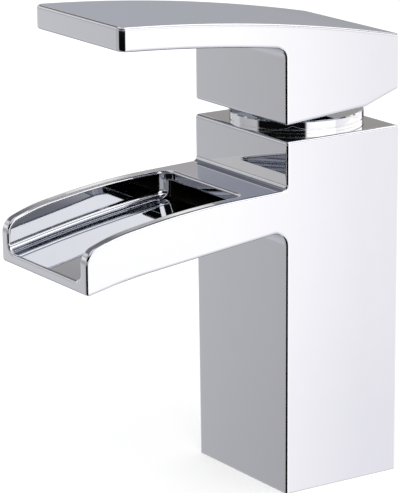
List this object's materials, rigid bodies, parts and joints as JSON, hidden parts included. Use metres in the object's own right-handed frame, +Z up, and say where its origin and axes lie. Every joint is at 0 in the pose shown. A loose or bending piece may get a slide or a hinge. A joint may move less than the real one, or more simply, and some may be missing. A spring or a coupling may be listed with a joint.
{
  "type": "waterfall basin faucet",
  "caption": "Square column basin faucet with an open waterfall trough and a flat lever that lifts and swivels over a round collar.",
  "frame": {"origin": "centre of the column's base face, which stands on the basin's deck", "axes": "+Z up, the spout and the lever point to -Y, +X is on the user's right"},
  "size_m": [0.0532, 0.1184, 0.1598],
  "materials": {
    "chrome_plate": "polished chrome plate on cast brass",
    "black_rubber": "moulded rubber",
    "black_nylon": "moulded nylon",
    "grey_nylon": "moulded nylon",
    "white_ceramic": null,
    "white_acetal": "moulded acetal",
    "red_acetal": "moulded acetal",
    "bare_brass": "machined brass",
    "bright_steel": "bright stainless steel",
    "plug_plastic": "red and blue moulded plastic"
  },
  "bodies": {
    "column": {"body_casting": "chrome_plate", "base_seal": "black_rubber", "cartridge_base": "black_nylon", "port_seals": "black_rubber", "fixed_disc": "white_ceramic", "cartridge_housing": "grey_nylon", "slip_ring": "white_acetal", "limit_ring": "red_acetal", "cartridge_nut": "bare_brass", "collar_seal": "black_rubber", "collar": "chrome_plate"},
    "guide": {"spindle_guide": "white_acetal", "spindle_pin": "bright_steel"},
    "lever": {"spindle": "bare_brass", "handle": "chrome_plate", "handle_bush": "white_acetal", "grub_screw": "bright_steel", "indice_plug": "plug_plastic"},
    "slider": {"moving_disc": "white_ceramic", "disc_carrier": "black_nylon", "carrier_seal": "black_rubber"}
  },
  "joints": [
    {"name": "swivel", "type": "hinge", "parent": "column", "child": "guide", "pos_m": [0, 0, 0.119], "axis": [0, 0, 1], "range_deg": [-50, 50]},
    {"name": "lift", "type": "hinge", "parent": "guide", "child": "lever", "pos_m": [0, 0, 0.119], "axis": [-1, 0, 0], "range_deg": [0, 18]},
    {"name": "disc_slide", "type": "slide", "parent": "guide", "child": "slider", "axis": [0, -1, 0], "range_m": [0, 0.0043]}
  ],
  "couplings": [
    {"joint": "disc_slide", "follows": "lift", "m_per_rad": 0.01328}
  ]
}
